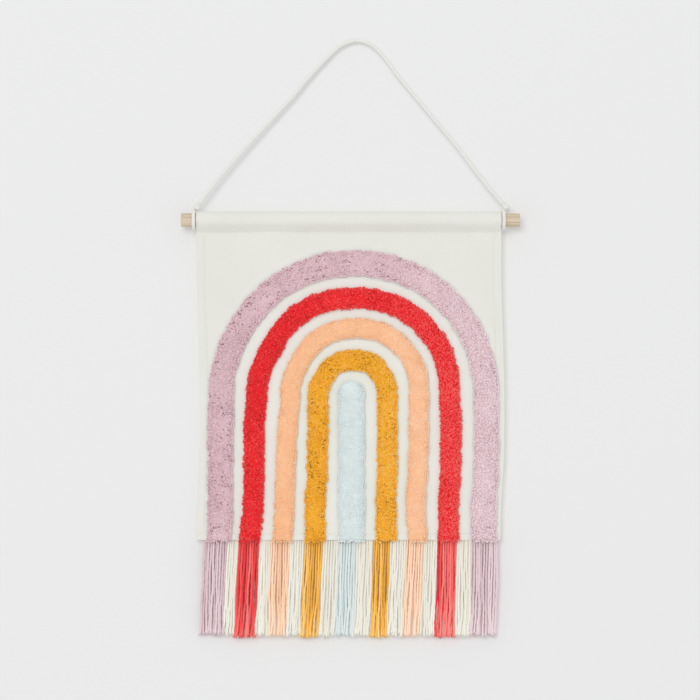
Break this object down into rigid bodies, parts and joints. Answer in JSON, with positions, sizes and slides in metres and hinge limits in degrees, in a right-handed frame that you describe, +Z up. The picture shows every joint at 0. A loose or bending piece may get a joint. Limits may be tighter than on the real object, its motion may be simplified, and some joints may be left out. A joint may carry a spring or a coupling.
{
  "type": "wall tapestry on wooden dowel",
  "caption": "Off-white canvas wall hanging with a tufted rainbow in soft pile and a coloured yarn fringe, on a wooden dowel that hangs by a white cord.",
  "frame": {"origin": "the point of the wall nail that carries the cord, under the cord's highest point", "axes": "+Z up, +X to the viewer's right along the dowel, +Y into the wall; the rainbow faces -Y"},
  "size_m": [0.44, 0.029, 0.7802],
  "materials": {
    "wood": "bare pale wood, lightly sanded",
    "canvas": "matt plain-weave canvas",
    "cord": "matt twisted cotton",
    "lilac_yarn": "soft matt yarn",
    "red_yarn": "soft matt yarn",
    "peach_yarn": "soft matt yarn",
    "mustard_yarn": "soft matt yarn",
    "blue_yarn": "soft matt yarn",
    "white_yarn": "soft matt yarn"
  },
  "bodies": {
    "root": {"dowel": "wood", "banner": "canvas", "pile_lilac": "lilac_yarn", "pile_red": "red_yarn", "pile_peach": "peach_yarn", "pile_mustard": "mustard_yarn", "pile_blue": "blue_yarn", "fringe_01_lilac": "lilac_yarn", "fringe_02_white": "white_yarn", "fringe_03_red": "red_yarn", "fringe_04_white": "white_yarn", "fringe_05_peach": "peach_yarn", "fringe_06_white": "white_yarn", "fringe_07_mustard": "mustard_yarn", "fringe_08_white": "white_yarn", "fringe_09_blue": "blue_yarn", "fringe_10_white": "white_yarn", "fringe_11_mustard": "mustard_yarn", "fringe_12_white": "white_yarn", "fringe_13_peach": "peach_yarn", "fringe_14_white": "white_yarn", "fringe_15_red": "red_yarn", "fringe_16_white": "white_yarn", "fringe_17_lilac": "lilac_yarn", "hanging_cord": "cord", "cord_tie_left": "cord", "cord_tie_right": "cord"}
  },
  "joints": []
}
